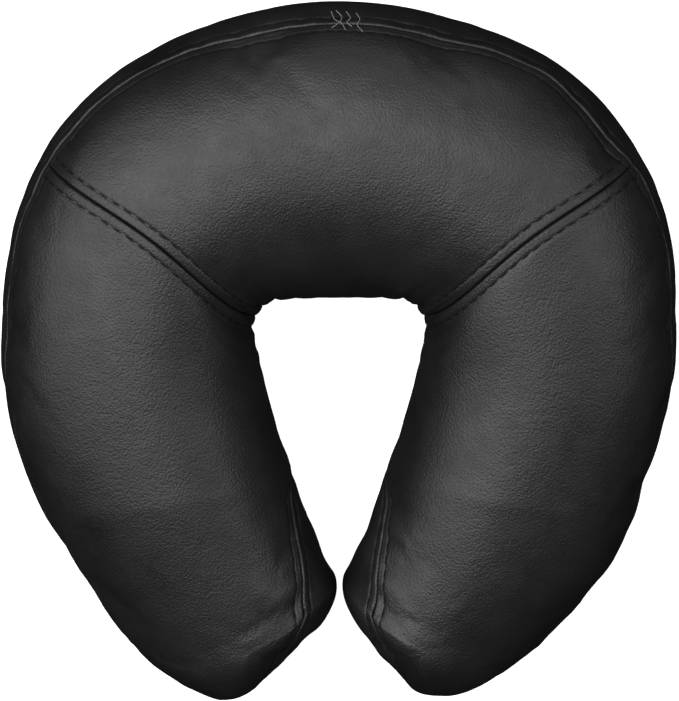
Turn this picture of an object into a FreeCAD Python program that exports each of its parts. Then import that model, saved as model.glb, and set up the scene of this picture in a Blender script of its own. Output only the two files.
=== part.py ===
import FreeCAD, Part
import math
import os

os.makedirs("parts", exist_ok=True)

V = FreeCAD.Vector

# A horseshoe face cradle cushion, in millimetres. The brow points to +Y, the arms to -Y,
# and it lies on its loop strips at z = 0, with the origin under its middle.

# Plan form
brow_radius = 150.0  # round of the outside at the brow, half the overall width
brow_centre_y = 6.4  # middle of that round
arm_start = 102.0  # degrees round from the brow's middle where the flatter arm outline starts
arm_radius = 225.0  # round of the outside along an arm
tip_start = 135.7  # degrees round where the outline starts to turn in to the tip
tip_radius = 61.0
opening_half_width = 38.5  # at the brow end of the face opening
opening_top_y = 23.5  # brow end of the face opening
opening_corner = 14.0  # round of its two corners
lobe_y = -106.5  # where the two arms come nearest to each other
tip_gap = 3.0  # between the arms there
arm_bow = 2.8  # how far an arm's inner edge curves away from a straight line
lobe_radius = 30.0  # round of a tip's inner corner
lobe_turn = 45.0  # degrees

# Height and section
loop_thickness = 2.8
crown_height = 84.0
belly_height = 31.0  # where the outer wall stands out furthest
inner_height = 36.0  # where the inner wall comes furthest into the opening
undercut = 26.0  # depth below the base at which the side walls would meet
shoulder_out = 2.5  # squareness of the section's outer shoulder, where 2 is round
shoulder_in = 2.15  # squareness of its inner shoulder
seam_height = 54.0  # of the seam between the top panels and the boxing
tail_start = -58.0  # where the boxing's inner tails begin, in y
tail_full = -108.0  # where they reach the height of the seam

# Layers
cover_thickness = 1.2
wrap_thickness = 4.0
foam_split = 42.0  # height of the joint between the firm and the soft foam

# Loop strips on the underside
strip_width = 26.0
strip_corner = 4.0
brow_strip_length = 130.0
brow_strip_y = 56.0
arm_strip_length = 96.0
arm_strip_x = 84.0
arm_strip_y = -42.0
arm_strip_angle = 70.0  # degrees from +X

# Zip in the underside of the brow
zip_edge_margin = 10.45  # between the outline and the corners of the tape, behind the brow
chain_length = 150.0
tape_thickness = 0.6
tape_margin = 7.0  # sewn to the inside of the bottom panel
tape_recess = 1.0  # height of the chain above the panel's inside
tape_end = 11.0  # of tape beyond each end of the chain
chain_gap = 1.7  # between the two rows of coil
coil_width = 2.1
coil_height = 1.5
stop_length = 2.4
stop_wall = 0.5
clearance = 0.3  # round the slider

# Slider and pull
slider_length = 9.0
slider_width = 8.0
slider_corner = 2.0
plate_thickness = 0.7
flange_width = 0.7
divider_length = 2.6
bridge_length = 7.0
bridge_width = 1.7
bridge_wall = 0.7
bar_radius = 0.45  # of the pull's bar, half the pull's thickness
bar_play = 0.08
pull_length = 21.0
pull_width = 5.2
pull_corner = 1.8
pull_hole_radius = 1.1

# Sections of the right half: degrees round the outside, the matching place along the face
# opening's edge, and the share of the full height. The last one is the blunt end of a tip.
STATIONS = (
    (0.0, 0.0, 1.0),
    (18.0, 0.65, 1.0),
    (36.0, 1.2, 1.0),
    (59.0, 1.7, 1.0),
    (78.0, 2.04, 1.0),
    (102.0, 2.27, 1.0),
    (115.0, 2.5, 1.0),
    (127.0, 2.71, 1.0),
    (137.0, 2.9, 1.0),
    (149.0, 3.05, 1.0),
    (161.0, 3.35, 0.99),
    (171.0, 3.7, 0.96),
    (180.0, 4.0, 0.88),
)
CHEEK_SEAM = STATIONS[3]
SECTION_POINTS = 28
LARGE = 400.0

# Heights, from the loop strips up
base_z = loop_thickness
inside_z = base_z + cover_thickness
tape_z = inside_z + tape_recess
coil_z = tape_z - coil_height
outer_plate_z = coil_z - clearance - plate_thickness
inner_plate_z = tape_z + tape_thickness + clearance
bar_z = outer_plate_z - bar_play - bar_radius
bridge_z = bar_z - bar_radius - bar_play - bridge_wall
channel_top_z = inner_plate_z + plate_thickness + clearance

# Across the zip, from its middle
coil_in = chain_gap / 2.0
coil_out = coil_in + coil_width
flat_out = slider_width / 2.0 + clearance
margin_in = flat_out + tape_recess
margin_out = margin_in + tape_margin
slot_half = margin_in + cover_thickness / 2.0

# Along the zip
chain_end = chain_length / 2.0
slot_end = chain_end + stop_length + clearance
tape_reach = chain_end + tape_end
zip_y = brow_centre_y + math.sqrt((brow_radius - zip_edge_margin) ** 2 - tape_reach**2) - margin_out
slider_x = chain_end - slider_length / 2.0 - clearance


def heading(degrees):
    return V(math.cos(math.radians(degrees)), math.sin(math.radians(degrees)), 0)


def block(x0, x1, y0, y1, z0, z1):
    return Part.makeBox(x1 - x0, y1 - y0, z1 - z0, V(x0, y0, z0))


def prism(points, direction):
    """Solid over a closed outline of points."""
    return Part.Face(Part.makePolygon(points + points[:1])).extrude(direction)


def rounded(solid, radius):
    """The solid with its upright edges rounded."""
    upright = [edge for edge in solid.Edges if abs(edge.tangentAt(edge.FirstParameter).z) > 0.99]
    return solid.makeFillet(radius, upright)


def across(point):
    return V(-point.x, point.y, point.z)


def mirrored(shape):
    return shape.mirror(V(0, 0, 0), V(1, 0, 0))


def save(node, shape):
    shape.exportStep("parts/" + node + ".step")
    print(node, len(shape.Solids), round(shape.Volume, 1), shape.isValid())


# ---- plan form: matching points on the outside and on the inside of the horseshoe ----


def outer_point(turn):
    """Point on the outside of the right half, TURN degrees round from the brow's middle. The
    outline is three arcs, each tangent to the next."""
    centre = V(0, brow_centre_y, 0)
    radius = brow_radius
    for start, next_radius in ((arm_start, arm_radius), (tip_start, tip_radius)):
        if turn > start:
            centre += heading(90.0 - start) * (radius - next_radius)
            radius = next_radius
    return centre + heading(90.0 - turn) * radius


def inner_point(place):
    """Point on the right half of the face opening's edge. PLACE runs from 0 to 1 along the
    brow, to 2 round the corner, to 3 down the arm, and to 4 round the lobe at the tip."""
    corner = V(opening_half_width - opening_corner, opening_top_y - opening_corner, 0)
    if place <= 1.0:
        return V(corner.x * place, opening_top_y, 0)
    if place <= 2.0:
        return corner + heading(90.0 * (2.0 - place)) * opening_corner
    top = V(opening_half_width, corner.y, 0)
    lobe = V(tip_gap / 2.0, lobe_y, 0)
    if place <= 3.0:
        along = place - 2.0
        bow = V(4.0 * arm_bow * along * (1.0 - along), 0, 0)
        return top + (lobe - top) * along + bow
    return lobe + V(lobe_radius, 0, 0) + heading(180.0 + lobe_turn * (place - 3.0)) * lobe_radius


def section_places():
    """Outer point, inner point and share of the height, from the brow's middle to a tip."""
    return [(outer_point(turn), inner_point(place), share) for turn, place, share in STATIONS]


# ---- body of the cushion: rounded sections lofted along the horseshoe ----


def section(outer, inner, share, inset):
    """Closed curve of one upright section, moved in by INSET from the cover's outside."""
    inward = inner - outer
    half = inward.Length / 2.0 - inset
    inward.normalize()
    middle = (outer + inner) * 0.5
    points = []
    for i in range(SECTION_POINTS):
        angle = 2.0 * math.pi * i / SECTION_POINTS
        cosine = math.cos(angle)
        sine = math.sin(angle)
        power = 2.0 / (shoulder_in if cosine > 0.0 else shoulder_out)
        side = math.copysign(abs(cosine) ** power, cosine)
        up = math.copysign(abs(sine) ** power, sine)
        widest_z = (inner_height * (1.0 + side) + belly_height * (1.0 - side)) / 2.0
        rise = crown_height - widest_z if sine > 0.0 else widest_z - base_z + undercut
        z = widest_z + up * (rise * share - inset)
        points.append(middle + inward * (side * half) + V(0, 0, z))
    curve = Part.BSplineCurve()
    curve.interpolate(Points=points, PeriodicFlag=True)
    return Part.Wire(curve.toShape())


def beyond_tip(inset):
    """Everything further out than INSET inside the blunt end of the right tip."""
    outer, inner, _ = section_places()[-1]
    end = (outer + inner) * 0.5
    ahead = V(outer.y - inner.y, inner.x - outer.x, 0).normalize()
    space = block(-inset, LARGE, -LARGE, LARGE, 0.0, LARGE)
    space.rotate(V(0, 0, 0), V(0, 0, 1), math.degrees(math.atan2(ahead.y, ahead.x)))
    space.translate(end)
    return space


def right_body(inset, floor_z):
    """The right half, moved in by INSET all round and cut flat at FLOOR_Z. It reaches a
    little over the middle, so that the two halves meet smoothly once they are trimmed."""
    right = section_places()
    start = [(across(outer), across(inner), share) for outer, inner, share in right[2:0:-1]]
    wires = [section(outer, inner, share, inset) for outer, inner, share in start + right]
    half = Part.makeLoft(wires, True, False)
    half = half.common(block(-LARGE, LARGE, -LARGE, LARGE, floor_z, LARGE))
    if inset > 0.0:
        half = half.cut(beyond_tip(inset))
    return half


def right_side(shape):
    return shape.common(block(0.0, LARGE, -LARGE, LARGE, 0.0, LARGE))


def both_sides(shape):
    """The whole of a piece that crosses the middle, from its right half."""
    half = right_side(shape)
    return half.fuse(mirrored(half)).removeSplitter()


# ---- cover ----


def cheek_seam_wedge():
    """Everything on the brow's side of the two upright cheek seam planes."""
    turn, place, _ = CHEEK_SEAM
    outer = outer_point(turn)
    inner = inner_point(place)
    direction = (outer - inner).normalize()
    apex = inner - direction * (inner.x / direction.x)
    far = inner + direction * LARGE
    outline = [apex, far, V(far.x, LARGE, 0), V(-far.x, LARGE, 0), across(far)]
    return prism(outline, V(0, 0, LARGE))


def boxing_zone():
    """Outer half of the right side up to the seam, and the tail that rises along the inner
    side to the tip."""
    middles = [(outer + inner) * 0.5 for outer, inner, _ in section_places()]
    outline = [V(-LARGE, middles[0].y, 0)] + middles + [V(middles[-1].x, -LARGE, 0), V(-LARGE, -LARGE, 0)]
    inner_half = prism([V(p.x, p.y, inside_z) for p in outline], V(0, 0, seam_height - inside_z))
    side = block(-LARGE, LARGE, -LARGE, LARGE, inside_z, seam_height).cut(inner_half)
    tail_outline = [
        V(-LARGE, tail_start, inside_z),
        V(-LARGE, tail_full, seam_height),
        V(-LARGE, -LARGE, seam_height),
        V(-LARGE, -LARGE, inside_z),
    ]
    return side.fuse(prism(tail_outline, V(2.0 * LARGE, 0, 0)))


def make_cover(outside, inside):
    shell = outside.cut(inside)
    slot = block(-slot_end, slot_end, zip_y - slot_half, zip_y + slot_half, 0.0, inside_z)
    below = block(-LARGE, LARGE, -LARGE, LARGE, 0.0, inside_z)
    save("bottom_panel", both_sides(shell.common(below).cut(slot)))
    upper = shell.cut(below)
    zone = boxing_zone()
    save("side_boxing", both_sides(upper.common(zone)))
    top = upper.cut(zone)
    wedge = cheek_seam_wedge()
    save("brow_panel", both_sides(top.common(wedge)))
    cheek = right_side(top.cut(wedge))
    save("right_cheek_panel", cheek)
    save("left_cheek_panel", mirrored(cheek))


# ---- filling ----


def make_filling(inside):
    foam = right_body(cover_thickness + wrap_thickness, inside_z + wrap_thickness)
    channel = block(
        -tape_reach - clearance,
        tape_reach + clearance,
        zip_y - margin_out - clearance,
        zip_y + margin_out + clearance,
        0.0,
        channel_top_z,
    )
    save("fibre_wrap", both_sides(inside.cut(foam).cut(channel)))
    lower = block(-LARGE, LARGE, -LARGE, LARGE, 0.0, foam_split)
    save("base_foam", both_sides(foam.common(lower).cut(channel)))
    save("comfort_foam", both_sides(foam.cut(lower)))


# ---- loop strips ----


def strip(length):
    half = length / 2.0
    plain = block(-half, half, -strip_width / 2.0, strip_width / 2.0, 0.0, loop_thickness)
    return rounded(plain, strip_corner)


def make_strips():
    brow = strip(brow_strip_length)
    brow.translate(V(0, brow_strip_y, 0))
    save("brow_loop_strip", brow)
    right = strip(arm_strip_length)
    right.rotate(V(0, 0, 0), V(0, 0, 1), arm_strip_angle)
    right.translate(V(arm_strip_x, arm_strip_y, 0))
    save("right_loop_strip", right)
    save("left_loop_strip", mirrored(right))


# ---- zip ----


def make_tape(side):
    """One half of the tape. SIDE is 1 towards the brow's rim and -1 towards the opening."""
    lower = [(coil_in, tape_z), (flat_out, tape_z), (margin_in, inside_z), (margin_out, inside_z)]
    upper = [(y, z + tape_thickness) for y, z in reversed(lower)]
    outline = [V(-tape_reach, zip_y + side * y, z) for y, z in lower + upper]
    return prism(outline, V(2.0 * tape_reach, 0, 0))


def span(side, y_in, y_out, x0, x1, z0, z1):
    """Block on one side of the zip's middle line."""
    ends = sorted((zip_y + side * y_in, zip_y + side * y_out))
    return block(x0, x1, ends[0], ends[1], z0, z1)


def make_zip():
    tapes = {}
    for name, side in (("rear", 1), ("front", -1)):
        tapes[side] = make_tape(side)
        save("zip_tape_" + name, tapes[side])
        row = span(side, coil_in, coil_out, -chain_end, chain_end, coil_z, tape_z)
        save("zip_coil_" + name, row)
    stop_top = tape_z + tape_thickness + stop_wall
    top_stops = []
    for side, tape in tapes.items():
        clip = span(side, coil_in - stop_wall, coil_out, chain_end, chain_end + stop_length, coil_z, stop_top)
        top_stops.append(clip.cut(tape))
    save("zip_top_stops", Part.makeCompound(top_stops))
    bar = block(-chain_end - stop_length, -chain_end, zip_y - coil_out, zip_y + coil_out, coil_z, stop_top)
    save("zip_bottom_stop", bar.cut(tapes[1]).cut(tapes[-1]))


def make_slider():
    x0 = slider_x - slider_length / 2.0
    x1 = slider_x + slider_length / 2.0
    y0 = zip_y - slider_width / 2.0
    y1 = zip_y + slider_width / 2.0
    outer_top = outer_plate_z + plate_thickness
    slider = rounded(block(x0, x1, y0, y1, outer_plate_z, outer_top), slider_corner)
    inner = rounded(block(x0, x1, y0, y1, inner_plate_z, inner_plate_z + plate_thickness), slider_corner)
    divider = block(
        x1 - slider_corner - divider_length,
        x1 - slider_corner,
        zip_y - coil_in + clearance,
        zip_y + coil_in - clearance,
        outer_plate_z,
        inner_plate_z,
    )
    slider = slider.fuse(divider).fuse(inner)
    slider_edge = slider_width / 2.0
    for side in (1, -1):
        flange = span(
            side,
            slider_edge - flange_width,
            slider_edge,
            x0 + slider_corner,
            x1 - slider_corner,
            outer_plate_z,
            tape_z - clearance,
        )
        slider = slider.fuse(flange)
    reach = bridge_length / 2.0
    half = bridge_width / 2.0
    bridge = block(slider_x - reach, slider_x + reach, zip_y - half, zip_y + half, bridge_z, outer_plate_z)
    window = block(
        slider_x - reach + bridge_wall,
        slider_x + reach - bridge_wall,
        zip_y - half,
        zip_y + half,
        bridge_z + bridge_wall,
        outer_plate_z,
    )
    save("zip_slider", slider.fuse(bridge.cut(window)).removeSplitter())


def make_pull():
    """Flat tab that lies along the chain, with a bar through the slider's bridge."""
    half = pull_width / 2.0
    eye_half = bridge_width / 2.0 + clearance
    eye_end = bridge_length / 2.0 + 3.0 * clearance
    z0 = bar_z - bar_radius
    z1 = bar_z + bar_radius
    tab = block(slider_x - pull_length, slider_x, zip_y - half, zip_y + half, z0, z1)
    far_edges = [edge for edge in tab.Edges if abs(edge.CenterOfMass.x - (slider_x - pull_length)) < 0.01]
    far_edges = [edge for edge in far_edges if abs(edge.tangentAt(edge.FirstParameter).z) > 0.99]
    tab = tab.makeFillet(pull_corner, far_edges)
    tab = tab.cut(block(slider_x - eye_end, slider_x, zip_y - eye_half, zip_y + eye_half, z0, z1))
    hole_x = slider_x - pull_length + pull_corner + 2.0 * pull_hole_radius
    hole = Part.makeCylinder(pull_hole_radius, 2.0 * bar_radius, V(hole_x, zip_y, z0))
    bar = Part.makeCylinder(bar_radius, pull_width, V(slider_x, zip_y - half, bar_z), V(0, 1, 0))
    save("zip_pull", tab.cut(hole).fuse(bar).removeSplitter())


outside = right_body(0.0, base_z)
inside = right_body(cover_thickness, inside_z)
make_cover(outside, inside)
make_filling(inside)
make_strips()
make_zip()
make_slider()
make_pull()
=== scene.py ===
import math
import random

import bmesh
import bpy
import numpy as np
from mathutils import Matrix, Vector, noise


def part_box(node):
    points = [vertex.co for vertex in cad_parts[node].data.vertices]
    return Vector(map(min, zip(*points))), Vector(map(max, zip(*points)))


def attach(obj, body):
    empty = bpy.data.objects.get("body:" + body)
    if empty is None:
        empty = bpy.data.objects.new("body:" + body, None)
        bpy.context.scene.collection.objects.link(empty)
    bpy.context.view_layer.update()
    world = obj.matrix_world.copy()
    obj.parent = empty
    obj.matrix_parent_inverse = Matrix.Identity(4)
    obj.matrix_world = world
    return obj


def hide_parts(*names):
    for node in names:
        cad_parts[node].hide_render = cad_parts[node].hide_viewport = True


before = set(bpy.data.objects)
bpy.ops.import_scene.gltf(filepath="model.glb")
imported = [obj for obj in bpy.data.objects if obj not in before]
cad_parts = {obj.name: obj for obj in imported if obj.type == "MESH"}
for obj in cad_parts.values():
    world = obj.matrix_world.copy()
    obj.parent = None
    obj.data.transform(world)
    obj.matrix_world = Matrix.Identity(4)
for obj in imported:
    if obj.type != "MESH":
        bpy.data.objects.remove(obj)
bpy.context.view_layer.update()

MM = 0.001  # every length below is in millimetres, and meshes are made in metres
SEED = 7

# ---- camera ----

CAMERA_TILT, CAMERA_DISTANCE = 10.0, 1.0


def add_object(name, data):
    """A new object in the scene that carries the data."""
    made = bpy.data.objects.new(name, data)
    bpy.context.scene.collection.objects.link(made)
    return made


camera_data = bpy.data.cameras.new("camera")
camera = add_object("camera", camera_data)
bpy.context.scene.camera = camera
camera_data.sensor_width = 36.0
camera_data.lens = 113.4
camera_data.clip_end = 20.0
tilt = math.radians(CAMERA_TILT)
camera_target = Vector((0.0, 0.0, 0.03))
camera.location = camera_target + Vector((0.0, math.sin(tilt), math.cos(tilt))) * CAMERA_DISTANCE
camera.rotation_euler = (-tilt, 0.0, 0.0)

# ---- the frame's own sizes ----

crown_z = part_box("left_cheek_panel")[1].z / MM
seam_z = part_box("side_boxing")[1].z / MM
base_z = (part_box("bottom_panel")[0] / MM).z

# ---- plan form: the frame's, with a slightly larger face opening ----

BROW_RADIUS = 150.0
BROW_CENTRE = np.array([0.0, 6.4])
ARM_START, ARM_RADIUS = 102.0, 225.0
TIP_START, TIP_RADIUS = 135.7, 61.0
CORNER_TURN, CORNER_RADIUS = 175.0, 18.0
OPENING_HALF, OPENING_TOP, OPENING_CORNER = 39.4, 25.5, 14.0
LOBE = np.array([1.5, -106.5])
LOBE_RADIUS, LOBE_TURN = 30.0, 45.0
ARM_BOW = 4.2
BELLY_Z, INNER_Z, UNDERCUT = 31.0, 36.0, 26.0
SHOULDER_OUT, SHOULDER_IN = 2.5, 2.15

# Degrees round the outside, and the matching place along the opening's edge
BROW_PAIRS = ((0.0, 0.0), (30.0, 0.6))
ARM_PAIRS = ((80.0, 2.2), (102.0, 2.36), (115.0, 2.55), (127.0, 2.74), (137.0, 2.9), (149.0, 3.05))
CHEEK_SEAM = (57.4, 1.7)

# Distances from a seam at which the mesh has rows, and the topstitch among them
STITCH_OFFSET = 4.6
SEAM_ROWS = (0.0, 0.45, 0.9, 1.4, 2.0, 2.7, 3.4, 4.0, STITCH_OFFSET, 5.2, 6.0, 7.0, 8.3, 10.0, 12.0)
ROW_SPACING = 1.9


def heading(degrees):
    angle = np.radians(degrees)
    return np.stack([np.cos(angle), np.sin(angle)], -1)


def outer_point(turn):
    centre = BROW_CENTRE
    radius = BROW_RADIUS
    for start, next_radius in ((ARM_START, ARM_RADIUS), (TIP_START, TIP_RADIUS)):
        if turn > start:
            centre = centre + heading(90.0 - start) * (radius - next_radius)
            radius = next_radius
    return centre + heading(90.0 - turn) * radius


def inner_point(place):
    corner = np.array([OPENING_HALF - OPENING_CORNER, OPENING_TOP - OPENING_CORNER])
    if place <= 1.0:
        return np.array([corner[0] * place, OPENING_TOP])
    if place <= 2.0:
        return corner + heading(90.0 * (2.0 - place)) * OPENING_CORNER
    top = np.array([OPENING_HALF, corner[1]])
    if place <= 3.0:
        along = place - 2.0
        bow = np.array([4.0 * ARM_BOW * along * (1.0 - along), 0.0])
        return top + (LOBE - top) * along + bow
    return LOBE + [LOBE_RADIUS, 0.0] + heading(180.0 + LOBE_TURN * (place - 3.0)) * LOBE_RADIUS


def tip_outline(turn, place):
    """Points round the right tip, from TURN on the outside to PLACE on the inside."""
    points = [outer_point(t) for t in np.linspace(turn, CORNER_TURN, 24)]
    out = heading(90.0 - CORNER_TURN)
    centre = points[-1] - out * CORNER_RADIUS
    points += [centre + heading(a) * CORNER_RADIUS for a in np.linspace(88.0 - CORNER_TURN, -135.0, 14)]
    points += [inner_point(p) for p in np.linspace(4.0, place, 20)]
    return np.array(points)


def ramp(value, low, high):
    share = np.clip((value - low) / (high - low), 0.0, 1.0)
    return share * share * (3.0 - 2.0 * share)


def lengths(points):
    steps = np.linalg.norm(np.diff(points, axis=0), axis=-1)
    return np.concatenate([[0.0], np.cumsum(steps)])


def resample(points, places):
    along = lengths(points)
    return np.stack([np.interp(places, along, points[:, i]) for i in range(points.shape[1])], -1)


def smooth_through(x, xs, ys):
    """Monotone cubic through the points (xs, ys)."""
    xs, ys = np.asarray(xs), np.asarray(ys)
    step = np.diff(xs)
    slope = np.diff(ys) / step
    middle = 2.0 * slope[:-1] * slope[1:] / (slope[:-1] + slope[1:])
    tangent = np.concatenate([[slope[0]], middle, [slope[-1]]])
    return hermite(x, xs, ys, tangent)


def hermite(x, xs, ys, tangent):
    """Cubic through the points (xs, ys) with the given slopes."""
    i = np.clip(np.searchsorted(xs, x) - 1, 0, len(xs) - 2)
    step = xs[i + 1] - xs[i]
    u = (x - xs[i]) / step
    return (
        ys[i] * (1 + 2 * u) * (1 - u) ** 2
        + step * tangent[i] * u * (1 - u) ** 2
        + ys[i + 1] * u**2 * (3 - 2 * u)
        + step * tangent[i + 1] * u**2 * (u - 1)
    )


# ---- section lines of the right half, from the brow's middle to the tip ----


def seam_frame():
    outer, inner = outer_point(CHEEK_SEAM[0]), inner_point(CHEEK_SEAM[1])
    along = (outer - inner) / np.linalg.norm(outer - inner)
    return inner, along, np.array([-along[1], along[0]])


def seam_distance(points):
    """Signed distance in plan from the right cheek seam, positive on the brow's side."""
    origin, _, normal = seam_frame()
    return (points - origin) @ normal


def section_lines():
    turns = np.linspace(0.0, 160.0, 1601)
    places = np.linspace(0.0, 3.4, 1701)
    outside = np.array([outer_point(t) for t in turns])
    opening = np.array([inner_point(p) for p in places])
    outside_c = seam_distance(outside)
    opening_c = seam_distance(opening)
    near = (turns > 40) & (turns < 80)
    near_in = (places > 0.6) & (places < 2.4)

    def turn_at(c):
        return np.interp(-c, -outside_c[near], turns[near])

    def place_at(c):
        return np.interp(-c, -opening_c[near_in], places[near_in])

    offsets = np.array(SEAM_ROWS)
    zone = np.concatenate([offsets[::-1], -offsets[1:]])
    zone_turns, zone_places = turn_at(zone), place_at(zone)
    degree = math.radians(BROW_RADIUS)
    brow_turns = np.linspace(0.0, zone_turns[0], int(zone_turns[0] * degree / ROW_SPACING))[:-1]
    last = ARM_PAIRS[-1][0]
    arm_count = int((last - zone_turns[-1]) * degree * 1.2 / ROW_SPACING)
    arm_turns = np.linspace(zone_turns[-1], last, arm_count)[1:]
    xs = [t for t, _ in BROW_PAIRS] + list(zone_turns[:: len(zone) - 1]) + [t for t, _ in ARM_PAIRS]
    ys = [p for _, p in BROW_PAIRS] + list(zone_places[:: len(zone) - 1]) + [p for _, p in ARM_PAIRS]
    all_turns = np.concatenate([brow_turns, zone_turns, arm_turns])
    all_places = smooth_through(all_turns, xs, ys)
    start = len(brow_turns)
    all_places[start : start + len(zone)] = zone_places
    outer = np.array([outer_point(t) for t in all_turns])
    inner = np.array([inner_point(p) for p in all_places])
    middle = (outer + inner) / 2.0
    return outer, inner, middle, all_turns[-1], all_places[-1], start, len(zone)


def perimeter():
    """The closed loop of columns round the cushion. Each column stands at a point of the plan
    outline and runs in to the crest. INWARD is 0 outside, 1 at the face opening."""
    outer, inner, middle, last_turn, last_place, zone_start, zone_count = section_lines()
    count = len(outer)
    tip = tip_outline(last_turn, last_place)
    total = lengths(tip)[-1]
    fan_count = int(total / ROW_SPACING)
    fan = resample(tip, np.linspace(0.0, total, fan_count + 1)[1:-1])
    ids = np.arange(count)
    feet = np.concatenate([outer, fan, inner[::-1]])
    crests = np.concatenate([ids, np.full(len(fan), count - 1), ids[::-1]])
    ease = np.linspace(0.0, 1.0, len(fan) + 2)[1:-1]
    inward = np.concatenate([np.zeros(count), ease**2 * (3 - 2 * ease), np.ones(count)])
    flip = np.array([-1.0, 1.0])
    left = slice(-2, 0, -1)
    feet = np.concatenate([feet, feet[left] * flip])
    left_crests = crests[left]
    left_crests = np.where(left_crests == 0, 0, left_crests + count - 1)
    inward = np.concatenate([inward, inward[left]])
    crest_points = np.concatenate([middle, middle[1:] * flip])
    crests = np.concatenate([crests, left_crests])
    return feet, crests, crest_points, inward, (count, zone_start, zone_count, len(fan))


FEET, CRESTS, CREST_POINTS, INWARD, (SECTIONS, ZONE_START, ZONE_COUNT, FAN) = perimeter()
COLUMNS = len(FEET)

# ---- profile of each column, from the bottom edge over the belly to the crest ----

BOTTOM_ROWS = 9
BOXING_ROWS = 32
TOP_ROWS = 60
EDGE_ROW = BOTTOM_ROWS
SEAM_ROW = BOTTOM_ROWS + BOXING_ROWS
ROWS = SEAM_ROW + TOP_ROWS
CREST_ROUND = 0.35  # softens the top of the superellipse
TIP_DROP = 5.0
BROW_RISE = 10.0  # of the seam at the middle of the brow
KINK_TURN, KINK_RISE = 50.0, 7.0  # where the boxing stands wider on the right of the brow

# How far the seam lies in from the silhouette on the inner side of a tip, by y
TAIL_Y = (-158.0, -142.0, -128.0, -119.0, -111.0, -103.0, -94.0, -84.0, -70.0, -56.0)
TAIL_INSET = (3.2, 3.6, 8.0, 12.5, 14.8, 14.0, 11.0, 7.0, 3.4, 0.4)
TAIL_END = -28.0  # the seam meets the bottom edge here


def turns_of(points):
    """Degrees round the cushion, 0 at the brow's middle and positive to the right."""
    return np.degrees(np.arctan2(points[..., 0], points[..., 1] - BROW_CENTRE[1]))


def column_profile(foot, crest, inward, inset, floor_z, ceiling_z=None):
    """Points (across, height) of one column from the bottom edge to the crest."""
    length = np.linalg.norm(crest - foot)
    belly = BELLY_Z + (INNER_Z - BELLY_Z) * inward
    shoulder = SHOULDER_OUT + (SHOULDER_IN - SHOULDER_OUT) * inward
    power = 2.0 / shoulder
    drop = TIP_DROP * np.clip((-60.0 - crest[1]) / 60.0, 0.0, 1.0)
    angles = np.linspace(-0.75, math.pi / 2.0, 300)
    sine = np.sin(angles)
    reach = np.maximum(np.cos(angles), 0.0) ** power
    soft = (reach**2 + CREST_ROUND**2) ** (shoulder / 2.0) - CREST_ROUND**shoulder
    soft /= (1.0 + CREST_ROUND**2) ** (shoulder / 2.0) - CREST_ROUND**shoulder
    up = np.maximum(1.0 - soft, 0.0) ** (1.0 / shoulder)
    under = -(np.abs(sine) ** power)
    rise = crown_z - drop - belly - inset
    height = belly + np.where(sine > 0, rise * up, (belly - base_z + UNDERCUT) * under)
    across = inset + (length - inset) * (1.0 - reach)
    keep = height > floor_z
    start = [[np.interp(floor_z, height, across), floor_z]]
    profile = np.concatenate([start, np.stack([across[keep], height[keep]], -1)])
    if ceiling_z is None:
        return profile
    edge = np.interp(ceiling_z, profile[:, 1], profile[:, 0])
    return np.concatenate([profile[profile[:, 1] < ceiling_z], [[edge, ceiling_z]]])


def seam_along(profile, foot, inward):
    """Distance along a profile from the bottom edge to the perimeter seam."""
    along = lengths(profile)
    turn = turns_of(foot)
    height = seam_z + BROW_RISE * math.exp(-((turn / 48.0) ** 2))
    height += KINK_RISE * math.exp(-(((turn - KINK_TURN) / 9.0) ** 2))
    outside = np.interp(height, profile[:, 1], along)
    if inward == 0.0:
        return outside
    widest = int(np.argmin(profile[:, 0]))
    y = foot[1]
    if y > TAIL_Y[-1]:
        share = np.clip((y - TAIL_END) / (TAIL_Y[-1] - TAIL_END), 0.0, 1.0)
        inside = along[widest] * share
    else:
        inset = np.interp(y, TAIL_Y, TAIL_INSET)
        inside = np.interp(inset, profile[widest:, 0] - profile[widest, 0], along[widest:])
    share = min(1.0, 1.6 * inward)
    return outside + (inside - outside) * share


def row_offsets(length, count):
    """Distances of COUNT rows from the seam: close together near it, then even."""
    near = np.array(SEAM_ROWS)
    rest = np.linspace(near[-1], max(length, near[-1] + 1.0), count - len(near) + 1)[1:]
    rows = np.concatenate([near, rest])
    return rows * min(1.0, length / rows[-1])


def inwards(column):
    way = CREST_POINTS[CRESTS[column]] - FEET[column]
    return way / np.linalg.norm(way), np.linalg.norm(way)


def blur_around(field, width):
    """Smoothed along the columns, round the closed loop."""
    kernel = np.hanning(2 * width + 3)[1:-1]
    kernel /= kernel.sum()
    total = np.zeros_like(field)
    for k, weight in enumerate(kernel):
        total += weight * np.roll(field, k - width, 0)
    return total


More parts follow.
